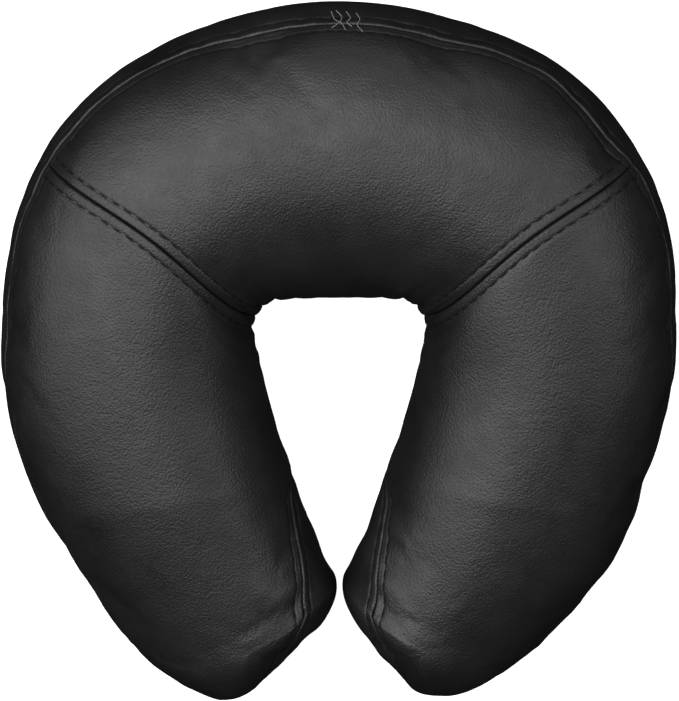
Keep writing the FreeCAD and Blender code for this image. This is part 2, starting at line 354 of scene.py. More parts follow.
def build_rows():
    """Rest positions of every column's points, and their distance from the perimeter seam."""
    profiles = [
        column_profile(FEET[i], CREST_POINTS[CRESTS[i]], INWARD[i], 0.0, base_z) for i in range(COLUMNS)
    ]
    seams = np.array([seam_along(profiles[i], FEET[i], INWARD[i]) for i in range(COLUMNS)])
    kernel = np.hanning(19)
    seams = np.convolve(np.concatenate([seams[-9:], seams, seams[:9]]), kernel / kernel.sum(), "valid")
    places = np.zeros((COLUMNS, ROWS, 3))
    from_seam = np.full((COLUMNS, ROWS), -200.0)
    for i, profile in enumerate(profiles):
        along = lengths(profile)
        seam = max(seams[i], 0.001)
        up = row_offsets(along[-1] - seam, TOP_ROWS)
        down = row_offsets(seam, BOXING_ROWS + 1)[:0:-1]
        at = np.concatenate([seam - down, seam + up])
        way, reach = inwards(i)
        share = np.linspace(1.0, 0.0, BOTTOM_ROWS + 1)[:-1]
        across = np.interp(at, along, profile[:, 0])
        edge = across[0]
        across = np.concatenate([edge + (reach - edge) * share, across])
        places[i, :, :2] = FEET[i] + way * across[:, None]
        places[i, :EDGE_ROW, 2] = base_z
        places[i, EDGE_ROW:, 2] = np.interp(at, along, profile[:, 1])
        from_seam[i, EDGE_ROW:] = at - seam
    return places, from_seam


PLACES, FROM_SEAM = build_rows()


# ---- the whole cover as one mesh ----


def shared_numbers(crests, rows):
    """Vertex number of each column and row. Columns share their crest and bottom middle."""
    numbers = np.arange(len(crests) * rows).reshape(len(crests), rows)
    first = {}
    for k, crest in enumerate(crests):
        j = first.setdefault(crest, k)
        numbers[k, -1] = numbers[j, -1]
        numbers[k, 0] = numbers[j, 0]
    return numbers


NUMBERS = shared_numbers(CRESTS, ROWS)


def quads(numbers, row_from, row_to, columns=None):
    """Faces between two rows, over all columns or some. Collapsed corners are dropped."""
    count = len(numbers)
    faces = []
    for i in range(count) if columns is None else columns:
        j = (i + 1) % count
        for r in range(row_from, row_to):
            corners = (numbers[i, r], numbers[j, r], numbers[j, r + 1], numbers[i, r + 1])
            corners = [int(n) for k, n in enumerate(corners) if n != corners[k - 1]]
            if len(set(corners)) > 2:
                faces.append(corners)
    return faces


def make_mesh(name, points, faces):
    """A mesh object from the faces, with only the points that they use."""
    used = sorted({n for face in faces for n in face})
    place = {n: i for i, n in enumerate(used)}
    mesh = bpy.data.meshes.new(name)
    mesh.from_pydata((points[used] * MM).tolist(), [], [[place[n] for n in face] for face in faces])
    mesh.validate()
    piece = add_object(name, mesh)
    tidy_normals(mesh)
    return piece


def tidy_normals(mesh):
    bm = bmesh.new()
    bm.from_mesh(mesh)
    bmesh.ops.remove_doubles(bm, verts=bm.verts, dist=1e-6)
    bmesh.ops.recalc_face_normals(bm, faces=bm.faces)
    bm.to_mesh(mesh)
    bm.free()
    mesh.polygons.foreach_set("use_smooth", np.ones(len(mesh.polygons), bool))
    mesh.update()


def apply_modifiers(piece):
    """Bake the piece's modifiers into its mesh."""
    evaluated = piece.evaluated_get(bpy.context.evaluated_depsgraph_get())
    mesh = bpy.data.meshes.new_from_object(evaluated)
    piece.modifiers.clear()
    piece.data = mesh
    return piece


def thicken(piece, thickness, offset=-1.0):
    solid = piece.modifiers.new("thickness", "SOLIDIFY")
    solid.thickness = thickness * MM
    solid.offset = offset
    return apply_modifiers(piece)


def grid_normals(points):
    """Outward normal of each column and row."""
    around = np.roll(points, -1, 0) - np.roll(points, 1, 0)
    along = np.gradient(points, axis=1)
    normal = np.cross(around, along)
    size = np.linalg.norm(normal, axis=-1, keepdims=True)
    normal = normal / np.maximum(size, 1e-9)
    top = slice(SEAM_ROW + 20, ROWS - 1)
    if normal[:, top, 2].sum() < 0:
        normal = -normal
    normal[:, -1] = (0, 0, 1)
    normal[:, :EDGE_ROW] = (0, 0, -1)
    return normal


# ---- the cover's seams and creases ----


def bump(distance, middle, width):
    return np.exp(-(((distance - middle) / width) ** 2))


def seam_shape(distance, ridge):
    """Height of the leather beside a topstitched seam. RIDGE is how far its turned edges stand up."""
    d = np.abs(distance)
    return (
        -0.9 * bump(d, 0.0, 0.4)
        + ridge * bump(d, 1.4, 0.8)
        - 0.45 * bump(d, STITCH_OFFSET, 0.5)
        - 0.08 * np.exp(-d / 5.0)
    )


def value_noise(points, sizes, seed):
    """Smooth noise from -1 to 1 with features of about SIZES along x, y and z."""
    flat = points.reshape(-1, 3) / np.asarray(sizes) + seed * 17.3
    return np.array([noise.noise(p) for p in flat.tolist()]).reshape(points.shape[:-1])


def cheek_distances(points):
    """Signed distance in plan from the nearer cheek seam, positive on the brow's side."""
    plan = np.stack([np.abs(points[..., 0]), points[..., 1]], -1)
    return seam_distance(plan)


CHEEK = cheek_distances(PLACES)
TIP_LEAN = 5.0  # the left tip has settled this far outwards


def leaned(points):
    """Points with the left tip moved outwards."""
    moved = points.copy()
    share = ramp(-points[..., 1], 98.0, 145.0) * ramp(-points[..., 0], 0.0, 12.0)
    moved[..., 0] -= TIP_LEAN * share
    return moved


SEAM_BOW = 4.5  # how far a cheek seam curves towards the brow over the crown


def crest_share(points):
    """How far in each point lies: 0 at its column's foot and 1 at the crest."""
    reach = np.linalg.norm(CREST_POINTS[CRESTS] - FEET, axis=1)[:, None]
    return np.clip(np.linalg.norm(points[..., :2] - FEET[:, None, :], axis=-1) / reach, 0.0, 1.0)


def bow_cheek_seams(points):
    """The leather of the cheek seams, drawn towards the brow where it goes over the crown."""
    normal = seam_frame()[2]
    share = crest_share(points)
    amount = SEAM_BOW * np.exp(-((CHEEK / 38.0) ** 2)) * np.sin(share * math.pi / 2.0) ** 2
    moved = points.copy()
    moved[..., 0] += amount * normal[0] * np.sign(points[..., 0])
    moved[..., 1] += amount * normal[1]
    return moved


# How far the stuffed side wall stands out past the drawn outline, by degrees round the cushion
FULLNESS = (
    (-180.0, 0.0), (-165.0, 2.2), (-150.0, 1.2), (-126.0, 0.9), (-119.0, 2.4), (-104.0, 2.0), (-85.0, 0.4),
    (-77.0, 1.2), (-63.0, 3.4), (-55.0, 4.9), (-47.0, 4.5), (-36.0, 2.9), (-29.0, 1.7), (-18.0, 0.0),
    (18.0, 0.2), (22.0, 0.9), (30.0, 3.2), (38.0, 5.4), (47.0, 6.8), (56.0, 5.8), (64.0, 4.8), (71.0, 4.3),
    (77.0, 2.2), (86.0, 0.2), (115.0, 0.5), (122.0, 3.2), (129.0, 3.9), (137.0, 3.4), (144.0, 1.0),
    (180.0, 0.0),
)


def fuller(points):
    """Points with the side wall moved out to its stuffed shape. The crest stays."""
    turn = turns_of(FEET)
    amount = np.interp(turn, *np.array(FULLNESS).T) * (1.0 - INWARD)
    amount = blur_around(amount, 4)
    way = np.stack([np.sin(np.radians(turn)), np.cos(np.radians(turn))], -1)
    share = crest_share(points)
    moved = points.copy()
    moved[..., :2] += (amount[:, None] * (1.0 - ramp(share, 0.0, 1.0)))[..., None] * way[:, None, :]
    return moved


PLACES = leaned(fuller(bow_cheek_seams(PLACES)))

# ---- the filled cover, by cloth simulation on a coarse copy of its grid ----

PRESSURE = 4.0
SIM_FRAMES = 20
SEAM_SHRINK = 0.05  # the thread draws the seams up, which puckers the leather beside them
SIM_CAP = 1.3
SEAM_SHARE, PANEL_SHARE = 0.5, 0.1  # the rest shape is already full, so only part of the movement is kept


def coarse_lines():
    """Columns and rows of the coarse copy. It keeps the seams and their topstitch."""
    zone = ZONE_START + np.array([0, 6, 14, 22, ZONE_COUNT - 1])
    arm = np.arange(zone[-1] + 2, SECTIONS - 1, 3)
    outside = np.concatenate([np.arange(0, ZONE_START - 1, 3), zone, arm])
    last = 2 * SECTIONS + FAN - 1
    fan = np.arange(SECTIONS, SECTIONS + FAN, 3)
    right = np.concatenate([outside, fan, last - outside[::-1]])
    columns = np.unique(np.concatenate([right, (COLUMNS - right) % COLUMNS]))
    top = SEAM_ROW + np.array([0, 8, 14] + list(range(17, TOP_ROWS - 2, 3)) + [TOP_ROWS - 1])
    boxing = SEAM_ROW - np.array([8, 14, 18, 22, 26, BOXING_ROWS])
    return columns, np.concatenate([boxing[::-1], top])


def simulate():
    """How far each grid point moves when the sewn cover is filled."""
    columns, rows = coarse_lines()
    coarse = PLACES[np.ix_(columns, rows)]
    keys = {}
    numbers = np.zeros(coarse.shape[:2], int)
    for i in range(len(columns)):
        for j in range(len(rows)):
            key = tuple(np.round(coarse[i, j] * 4.0).astype(int))
            numbers[i, j] = keys.setdefault(key, len(keys))
    points = np.zeros((len(keys), 3))
    points[numbers.ravel()] = coarse.reshape(-1, 3)
    mesh = bpy.data.meshes.new("cloth")
    mesh.from_pydata((points * MM).tolist(), [], quads(numbers, 0, len(rows) - 1))
    cloth = add_object("cloth", mesh)
    bm = bmesh.new()
    bm.from_mesh(mesh)
    bmesh.ops.recalc_face_normals(bm, faces=bm.faces)
    bm.to_mesh(mesh)
    bm.free()
    pinned = cloth.vertex_groups.new(name="pinned")
    pinned.add([int(n) for n in np.unique(numbers[:, 0])], 1.0, "REPLACE")
    drawn = cloth.vertex_groups.new(name="drawn")
    seam_row = int(np.searchsorted(rows, SEAM_ROW))
    drawn.add([int(n) for n in np.unique(numbers[:, seam_row])], 1.0, "REPLACE")
    modifier = cloth.modifiers.new("cloth", "CLOTH")
    settings = modifier.settings
    settings.vertex_group_mass = "pinned"
    settings.use_pressure = True
    settings.uniform_pressure_force = PRESSURE
    settings.vertex_group_shrink = "drawn"
    settings.shrink_min = 0.0
    settings.shrink_max = SEAM_SHRINK
    settings.effector_weights.gravity = 0.0
    settings.quality = 5
    settings.tension_stiffness = settings.compression_stiffness = 25.0
    settings.bending_stiffness = 0.4
    modifier.collision_settings.use_collision = False
    modifier.point_cache.frame_end = SIM_FRAMES
    for number in range(1, SIM_FRAMES + 1):
        bpy.context.scene.frame_set(number)
    evaluated = cloth.evaluated_get(bpy.context.evaluated_depsgraph_get())
    ends = np.zeros(len(points) * 3)
    evaluated.data.vertices.foreach_get("co", ends)
    moved = ends.reshape(-1, 3) / MM - points
    bpy.context.scene.frame_set(1)
    bpy.data.objects.remove(cloth)
    coarse_move = moved[numbers]
    return spread(coarse_move, columns, rows)


def line_weights(places, count, closed):
    """Linear interpolation from the coarse lines to all of them."""
    nodes = np.append(places, places[0] + count) if closed else places
    weights = np.zeros((count, len(places)))
    for i in range(count):
        at = i + count if closed and i < nodes[0] else i
        k = int(np.clip(np.searchsorted(nodes, at, "right") - 1, 0, len(nodes) - 2))
        share = np.clip((at - nodes[k]) / (nodes[k + 1] - nodes[k]), 0.0, 1.0)
        weights[i, k % len(places)] += 1.0 - share
        weights[i, (k + 1) % len(places)] += share
    return weights


def spread(coarse, columns, rows):
    down = line_weights(rows, ROWS, False)
    down[:EDGE_ROW] = 0.0
    around = line_weights(columns, COLUMNS, True)
    field = np.einsum("ci,ijk,rj->crk", around, coarse, down)
    broad = blur_around(field, 30)
    near_seam = np.exp(-np.abs(FROM_SEAM) / 14.0)[..., None]
    field = (field - broad) * (PANEL_SHARE + (SEAM_SHARE - PANEL_SHARE) * near_seam)
    size = np.linalg.norm(field, axis=-1, keepdims=True)
    return field * np.minimum(1.0, SIM_CAP / np.maximum(size, 1e-6))


def shared_crest(field):
    """The same value on all columns that meet at one point of the crest."""
    counts = np.bincount(CRESTS)
    for k in range(field.shape[-1]):
        field[:, -1, k] = (np.bincount(CRESTS, field[:, -1, k]) / counts)[CRESTS]
    return field


def creases():
    """How far the leather stands out from, or sinks into, the filled shape."""
    d = FROM_SEAM
    top = ramp(d, 0.0, 0.5)
    on_cover = ramp(PLACES[..., 2], base_z, base_z + 7.0)
    on_cover[:, :EDGE_ROW] = 0.0
    feet = np.concatenate([FEET, np.zeros((COLUMNS, 1))], 1)
    fine = value_noise(feet, (7.0, 7.0, 7.0), 2)[:, None]
    coarse = value_noise(feet, (17.0, 17.0, 17.0), 3)[:, None]
    lift = seam_shape(d, 0.2)
    lift += 0.5 * fine * np.exp(-np.abs(d) / 6.0) * ramp(np.abs(d), 0.0, 2.0)
    lift += 0.8 * coarse * np.exp(-np.abs(d) / 13.0)
    lift += 1.2 * bump(d, -17.0, 10.0) * (1.0 - INWARD[:, None])
    cheek = seam_shape(CHEEK, 0.04) * ramp(d, 0.6, 3.0)
    inner = ramp(INWARD, 0.4, 1.0)[:, None]
    z = PLACES[..., 2]
    gather = np.cos(2.0 * math.pi * CHEEK / 6.4 + 2.5 * value_noise(PLACES, (30.0, 30.0, 14.0), 4))
    gather *= bump(CHEEK, 0.0, 15.0) * bump(z, 44.0, 20.0) * inner
    lift += cheek - 1.2 * gather * ramp(d, 3.0, 12.0)
    folds = value_noise(PLACES, (10.0, 16.0, 22.0), 5)
    lift += 1.5 * folds * ramp(-d, 2.0, 11.0) * inner
    lift += 0.55 * value_noise(PLACES, (46.0, 46.0, 60.0), 6)
    lift += 0.07 * value_noise(PLACES, (19.0, 19.0, 30.0), 7)
    wrinkles = 1.0 - np.abs(value_noise(PLACES, (16.0, 9.0, 16.0), 8)) * 2.5
    lift += 0.05 * np.maximum(wrinkles, 0.0) ** 3
    return lift * on_cover


ARM_CLEARANCE = 0.7  # of each arm from the middle plane


def filled_cover():
    moved = PLACES + shared_crest(simulate())
    lift = creases()
    lift[:, -1] = (np.bincount(CRESTS, lift[:, -1]) / np.bincount(CRESTS))[CRESTS]
    points = moved + grid_normals(PLACES) * lift[..., None]
    arms = FEET[:, 1] < -50.0
    side = np.where(np.arange(COLUMNS) < COLUMNS / 2, 1.0, -1.0)[:, None]
    apart = side * np.maximum(side * points[..., 0], ARM_CLEARANCE)
    points[..., 0] = np.where(arms[:, None], apart, points[..., 0])
    return points


SHAPE = filled_cover()
NORMALS = grid_normals(SHAPE)
POINTS = SHAPE.reshape(-1, 3)
COVER_THICKNESS = 1.2

# Columns of faces of each panel. Face i lies between columns i and i + 1
HALF = 2 * SECTIONS + FAN - 1
SEAM_SECTION = ZONE_START + ZONE_COUNT // 2
outer_brow = list(range(SEAM_SECTION))
right_brow = outer_brow + [HALF - 1 - i for i in outer_brow]
right_cheek = sorted(set(range(HALF)) - set(right_brow))
panels = {
    "brow_cover": right_brow + [COLUMNS - 1 - i for i in right_brow],
    "right_cheek_cover": right_cheek,
    "left_cheek_cover": [COLUMNS - 1 - i for i in right_cheek],
}
cover = {
    name: make_mesh(name, POINTS, quads(NUMBERS, SEAM_ROW, ROWS - 1, columns))
    for name, columns in panels.items()
}
cover["boxing_cover"] = make_mesh("boxing_cover", POINTS, quads(NUMBERS, EDGE_ROW, SEAM_ROW))
for piece in cover.values():
    thicken(piece, COVER_THICKNESS)

# ---- underside: panel with a slot for the zip ----

ZIP_Y, SLOT = 104.0, (77.7, 5.9)  # and half the slot's length and width


def box_mesh(name, low, high):
    corners = [(x, y, z) for x in (low[0], high[0]) for y in (low[1], high[1]) for z in (low[2], high[2])]
    faces = [(0, 1, 3, 2), (4, 6, 7, 5), (0, 4, 5, 1), (2, 3, 7, 6), (0, 2, 6, 4), (1, 5, 7, 3)]
    return make_mesh(name, np.array(corners, float), [list(face) for face in faces])


def bottom_panel():
    edge = SHAPE[:, EDGE_ROW]
    sheet = SHAPE.copy()
    sheet[:, :EDGE_ROW, 2] = base_z
    waves = 0.25 * value_noise(sheet, (30.0, 30.0, 30.0), 9)
    sheet[:, 1:EDGE_ROW, 2] += np.maximum(waves, 0.0)[:, 1:EDGE_ROW]
    sheet[:, 0, 2] = base_z
    sheet[:, EDGE_ROW] = edge
    piece = make_mesh("underside_panel", sheet.reshape(-1, 3), quads(NUMBERS, 0, EDGE_ROW))
    thicken(piece, COVER_THICKNESS, 1.0)
    cutter = box_mesh("slot", (-SLOT[0], ZIP_Y - SLOT[1], 0.0), (SLOT[0], ZIP_Y + SLOT[1], 12.0))
    cut = piece.modifiers.new("slot", "BOOLEAN")
    cut.operation = "DIFFERENCE"
    cut.object = cutter
    cut.solver = "EXACT"
    apply_modifiers(piece)
    bpy.data.objects.remove(cutter)
    return piece


underside = bottom_panel()

# ---- padding inside ----


def shell(name, inset, floor_z, ceiling_z=None):
    """Closed body under the cover, between two heights. Every second column is enough."""
    picked = np.arange(0, COLUMNS, 2)
    count = 34
    grid = np.zeros((len(picked), count + 8, 3))
    for k, i in enumerate(picked):
        crest = CREST_POINTS[CRESTS[i]]
        profile = column_profile(FEET[i], crest, INWARD[i], inset, floor_z, ceiling_z)
        way, reach = inwards(i)
        line = resample(profile, np.linspace(0.0, lengths(profile)[-1], count))
        cap = np.linspace(1.0, 0.0, 5)[:-1]
        across = np.concatenate([line[0, 0] + (reach - line[0, 0]) * cap, line[:, 0]])
        height = np.concatenate([np.full(4, line[0, 1]), line[:, 1]])
        end = np.linspace(0.0, 1.0, 5)[1:]
        across = np.concatenate([across, line[-1, 0] + (reach - line[-1, 0]) * end])
        height = np.concatenate([height, np.full(4, line[-1, 1])])
        grid[k, :, :2] = FEET[i] + way * across[:, None]
        grid[k, :, 2] = height
    numbers = shared_numbers(CRESTS[picked], grid.shape[1])
    side = np.where(picked < COLUMNS / 2, 1.0, -1.0)[:, None]
    grid[..., 0] = side * np.maximum(side * grid[..., 0], 0.0)
    grid = leaned(grid)
    rough = value_noise(grid, (9.0, 9.0, 9.0), 10) * 0.25
    grid[..., 2] += rough * ramp(grid[..., 2], floor_z + 2.0, floor_z + 8.0) * (ceiling_z is None)
    return make_mesh(name, grid.reshape(-1, 3), quads(numbers, 0, grid.shape[1] - 1))


WRAP_INSET, FOAM_INSET, FOAM_SPLIT = 6.0, 9.0, 42.0
wrap = shell("wadding_wrap", WRAP_INSET, base_z + 3.5)
thicken(wrap, 2.0)
soft_foam = shell("soft_foam_layer", FOAM_INSET, FOAM_SPLIT + 0.1)
firm_foam = shell("firm_foam_layer", FOAM_INSET, base_z + 8.0, FOAM_SPLIT - 0.1)

# ---- thread ----

STITCH_PITCH, STITCH_LENGTH, THREAD_RADIUS = 6.0, 4.7, 0.36
stitch_random = random.Random(SEED)


class Tubes:
    """Many short tubes in one mesh."""

    def __init__(self, sides=6):
        self.sides = sides
        self.points = []
        self.faces = []

    def add(self, path, radius):
        path = np.asarray(path, float)
        radii = np.broadcast_to(radius, len(path))
        tangent = np.gradient(path, axis=0)
        tangent /= np.maximum(np.linalg.norm(tangent, axis=1, keepdims=True), 1e-9)
        guide = np.array([0.0, 0.0, 1.0])
        if np.abs(tangent[:, 2]).max() > 0.9:
            clear = np.abs(tangent[:, 1]).max() < 0.9
            guide = np.array([0.0, 1.0, 0.0] if clear else [1.0, 0.3, 0.1])
        across = np.cross(tangent, guide)
        across /= np.maximum(np.linalg.norm(across, axis=1, keepdims=True), 1e-9)
        up = np.cross(across, tangent)
        start = len(self.points)
        for k in range(len(path)):
            for s in range(self.sides):
                angle = 2.0 * math.pi * s / self.sides
                out = across[k] * math.cos(angle) + up[k] * math.sin(angle)
                self.points.append(path[k] + out * radii[k])
        n = self.sides
        for k in range(len(path) - 1):
            for s in range(n):
                a, b = start + k * n + s, start + k * n + (s + 1) % n
                self.faces.append([a, b, b + n, a + n])
        self.faces.append([start + s for s in range(n)][::-1])
        self.faces.append([start + (len(path) - 1) * n + s for s in range(n)])

    def mesh(self, name):
        return make_mesh(name, np.array(self.points), self.faces)


def sew(tubes, path, normals, pitch=STITCH_PITCH, length=STITCH_LENGTH, radius=THREAD_RADIUS, sink=0.25):
    """Stitches along a path on a surface, each one a thread that dips in at both ends."""
    path, normals = np.asarray(path), np.asarray(normals)
    along = lengths(path)
    if along[-1] < pitch:
        return
    count = int(along[-1] / pitch)
    for k in range(count):
        start = (k + 0.15) * along[-1] / count + stitch_random.uniform(-0.25, 0.25)
        share = np.linspace(0.0, 1.0, 7)
        at = start + share * (length + stitch_random.uniform(-0.3, 0.3))
        points = np.stack([np.interp(at, along, path[:, i]) for i in range(3)], -1)
        up = np.stack([np.interp(at, along, normals[:, i]) for i in range(3)], -1)
        up /= np.maximum(np.linalg.norm(up, axis=1, keepdims=True), 1e-9)
        sideways = np.cross(up, np.gradient(points, axis=0))
        sideways /= np.maximum(np.linalg.norm(sideways, axis=1, keepdims=True), 1e-9)
        skew = (share - 0.5)[:, None] * sideways * stitch_random.uniform(-0.5, 0.5)
        height = radius * 0.35 * np.sin(math.pi * share) ** 0.5 - sink * (1.0 - np.sin(math.pi * share))
        tubes.add(points + up * height[:, None] + skew, radius * (0.85 + 0.15 * np.sin(math.pi * share)))


def row_path(row, columns):
    return SHAPE[columns, row], NORMALS[columns, row]


top_stitch = SEAM_ROW + SEAM_ROWS.index(STITCH_OFFSET)
side_stitch = SEAM_ROW - SEAM_ROWS.index(STITCH_OFFSET)
perimeter_thread = Tubes()
has_tail = FROM_SEAM[:, EDGE_ROW] < -9.0
sewn = [i for i in range(-COLUMNS // 2, COLUMNS // 2) if has_tail[i % COLUMNS]]
runs = np.split(np.array(sewn), np.where(np.diff(sewn) > 1)[0] + 1)
for run in runs:
    columns = run % COLUMNS
    for row in (top_stitch, side_stitch):
        sew(perimeter_thread, *row_path(row, columns))
perimeter_stitching = perimeter_thread.mesh("perimeter_topstitch")

cheek_thread = Tubes()
stitch_index = SEAM_ROWS.index(STITCH_OFFSET)
for step in (-stitch_index, stitch_index):
    section = SEAM_SECTION + step
    for column in (section, HALF - section):
        for mirrored in (column, COLUMNS - column):
            first_row = SEAM_ROW + 5
            while SHAPE[mirrored, first_row, 2] < 22.0:
                first_row += 1
            rows = np.arange(first_row, ROWS)
            sew(cheek_thread, SHAPE[mirrored, rows], NORMALS[mirrored, rows])
cheek_stitching = cheek_thread.mesh("cheek_topstitch")

# Ends of the grey bobbin thread, left standing at the middle of the brow
ENDS = (
    ((-3.6, 152.6, 58.0), (-2.2, 149.5, 65.0), (1.0, 147.6, 68.5), (2.6, 145.0, 70.0)),
    ((-1.5, 153.0, 56.0), (0.8, 150.6, 63.5), (-0.8, 147.5, 68.6), (-3.4, 145.8, 69.8)),
    ((7.0, 152.0, 59.0), (8.6, 149.6, 65.0), (7.6, 147.0, 69.0), (9.8, 144.4, 71.0)),
    ((2.8, 152.6, 58.0), (4.6, 150.0, 64.8), (3.2, 148.0, 68.0), (5.2, 146.4, 69.6)),
)
end_threads = Tubes(5)


def smooth_line(points, count):
    """Curve through a few points."""
    points = np.asarray(points, float)
    along = lengths(points)
    at = np.linspace(0.0, along[-1], count)
    axes = [hermite(at, along, values, np.gradient(values, along)) for values in points.T]
    return np.stack(axes, -1)


brow_column = SHAPE[0, EDGE_ROW:]


def on_brow(point):
    """The point moved out to just above the leather at the brow's middle."""
    height = np.interp(-point[1], -brow_column[30:, 1], brow_column[30:, 2])
    return (point[0], point[1], max(point[2], height + 0.3))


END_RADIUS = 0.17
for line in ENDS:
    end_threads.add(smooth_line([on_brow(p) for p in line], 24), END_RADIUS)
thread_ends = end_threads.mesh("thread_ends")

# ---- loop strips ----

STRIPS = {
    "brow_strip": ("brow_loop_strip", (0.0, 56.0), 130.0, 0.0),
    "right_strip": ("right_loop_strip", (84.0, -42.0), 96.0, 70.0),
    "left_strip": ("left_loop_strip", (-84.0, -42.0), 96.0, 110.0),
}
STRIP_WIDTH, STRIP_CORNER, STRIP_BACK = 26.0, 4.0, 1.3
STRIP_EDGE = 1.7  # of the stitching from a strip's edge
PILE_MARGIN, PILE_STEP, PILE_RADIUS = 3.0, 1.15, 0.085
strip_top = base_z


def placed(points, centre, turn):
    """Points of a strip turned about z and moved to its centre."""
    way, side = heading(turn), heading(turn + 90.0)
    plan = points[:, :1] * way + points[:, 1:2] * side + np.array(centre)
    return np.concatenate([plan, points[:, 2:]], 1)


def corner_arcs(size, corner, radius, angles):
    """Outline of a rectangle, with arcs of RADIUS about the middles of its CORNER rounds."""
    points = []
    for sx, sy, first in ((1, 1, 0.0), (-1, 1, 90.0), (-1, -1, 180.0), (1, -1, 270.0)):
        middle = np.array([sx * (size[0] / 2 - corner), sy * (size[1] / 2 - corner)])
        points += [middle + heading(first + a) * radius for a in angles]
    return points


def rounded_slab(name, size, corner, low, high, centre, turn, bevel=0.35):
    """A flat rounded rectangle with softened edges."""
    bm = bmesh.new()
    outline = corner_arcs(size, corner, corner, np.linspace(0.0, 90.0, 7))
    rings = ((low, bevel), (low + bevel, 0.0), (high - bevel, 0.0), (high, bevel))
    loops = []
    for z, inset in rings:
        shrunk = [p * (1.0 - inset / np.abs(p).max()) for p in outline]
        points = placed(np.array([[p[0], p[1], z] for p in shrunk]), centre, turn) * MM
        loops.append([bm.verts.new(p) for p in points])
    for a, b in zip(loops, loops[1:]):
        for i in range(len(a)):
            j = (i + 1) % len(a)
            bm.faces.new((a[i], a[j], b[j], b[i]))
    bm.faces.new(loops[0][::-1])
    bm.faces.new(loops[-1])
    bmesh.ops.recalc_face_normals(bm, faces=bm.faces)
    mesh = bpy.data.meshes.new(name)
    bm.to_mesh(mesh)
    bm.free()
    return add_object(name, mesh)


def pile(name, length, centre, turn, rng):
    """Fibre loops standing on a strip's backing."""
    tubes = Tubes(3)
    half = (length / 2 - PILE_MARGIN, STRIP_WIDTH / 2 - PILE_MARGIN)
    for x in np.arange(-half[0], half[0], PILE_STEP):
        for y in np.arange(-half[1], half[1], PILE_STEP):
            px, py = x + rng.uniform(-0.5, 0.5), y + rng.uniform(-0.5, 0.5)
            angle = rng.uniform(0.0, 2.0 * math.pi)
            reach = rng.uniform(0.45, 0.85)
            tall = rng.uniform(0.9, 1.35)
            lean = (rng.uniform(-0.4, 0.4), rng.uniform(-0.4, 0.4))
            path = []
            for share in np.linspace(0.0, 1.0, 6):
                swing = math.sin(math.pi * share)
                out = (share - 0.5) * 2.0 * reach
                path.append(
                    (
                        px + out * math.cos(angle) + lean[0] * swing,
                        py + out * math.sin(angle) + lean[1] * swing,
                        strip_top - STRIP_BACK + 0.1 - tall * swing**0.6,
                    )
                )
            tubes.add(placed(np.array(path), centre, turn), PILE_RADIUS)
    return tubes.mesh(name)


pile_random = random.Random(SEED + 1)
strips, piles = {}, {}
strip_thread = Tubes()
for name, (_, centre, length, turn) in STRIPS.items():
    size = (length, STRIP_WIDTH)
    strips[name] = rounded_slab(
        name, size, STRIP_CORNER, strip_top - STRIP_BACK, strip_top - 0.02, centre, turn
    )
    piles[name + "_pile"] = pile(name + "_pile", length, centre, turn, pile_random)
    border = corner_arcs(size, STRIP_CORNER, STRIP_CORNER - STRIP_EDGE, (0.0, 45.0, 90.0))
    border.append(border[0])
    flat = np.array([[p[0], p[1], strip_top - STRIP_BACK] for p in border])
    flat = placed(flat, centre, turn)
    path = resample(flat, np.linspace(0.0, lengths(flat)[-1], 200))
    sew(strip_thread, path, np.tile([0.0, 0.0, -1.0], (200, 1)), 3.2, 2.4, 0.2, 0.15)
strip_stitching = strip_thread.mesh("strip_stitching")

# ---- zip ----

TAPE_HALF, TAPE_WIDTH, TAPE_GAP = 86.0, 11.68, 0.62
COIL_HALF, COIL_Y, COIL_Z = 75.0, 1.75, 4.25
COIL_PITCH = 1.3
COIL_SWING, COIL_RISE, COIL_THREAD = 0.85, 0.42, 0.31
TAPE_LOW, TAPE_HIGH = 5.03, 5.57


def zip_tape(name, side):
    """Woven tape with a slight wave."""
    rows, columns = 24, 220
    u = np.linspace(-TAPE_HALF, TAPE_HALF, columns)
    v = TAPE_GAP + TAPE_WIDTH * np.linspace(0.0, 1.0, rows)
    x, y = np.meshgrid(u, v, indexing="ij")
    ripple = 0.06 * np.sin(x / 3.1) * np.sin(y * 1.7)
    lower = TAPE_LOW + ripple * 0.5 + 0.04 * np.cos(y * 9.0)
    upper = TAPE_HIGH + ripple * 0.5
    frayed = np.where(np.abs(x) > TAPE_HALF - 1.0, 0.15 * np.sin(y * 7.0), 0.0)
    grid = np.stack([x + frayed * np.sign(x), ZIP_Y + side * y, lower], -1)
    top = grid.copy()
    top[..., 2] = upper
    points = np.concatenate([grid.reshape(-1, 3), top.reshape(-1, 3)])
    n = columns * rows
    faces = []
    for i in range(columns - 1):
        for j in range(rows - 1):
            a = i * rows + j
            faces.append([a, a + 1, a + rows + 1, a + rows])
            faces.append([n + a, n + a + rows, n + a + rows + 1, n + a + 1])
    rim = [i * rows for i in range(columns)] + [(columns - 1) * rows + j for j in range(1, rows)]
    rim += [i * rows + rows - 1 for i in range(columns - 2, -1, -1)] + list(range(rows - 2, 0, -1))
    for a, b in zip(rim, rim[1:] + rim[:1]):
        faces.append([a, b, n + b, n + a])
    return make_mesh(name, points, faces)


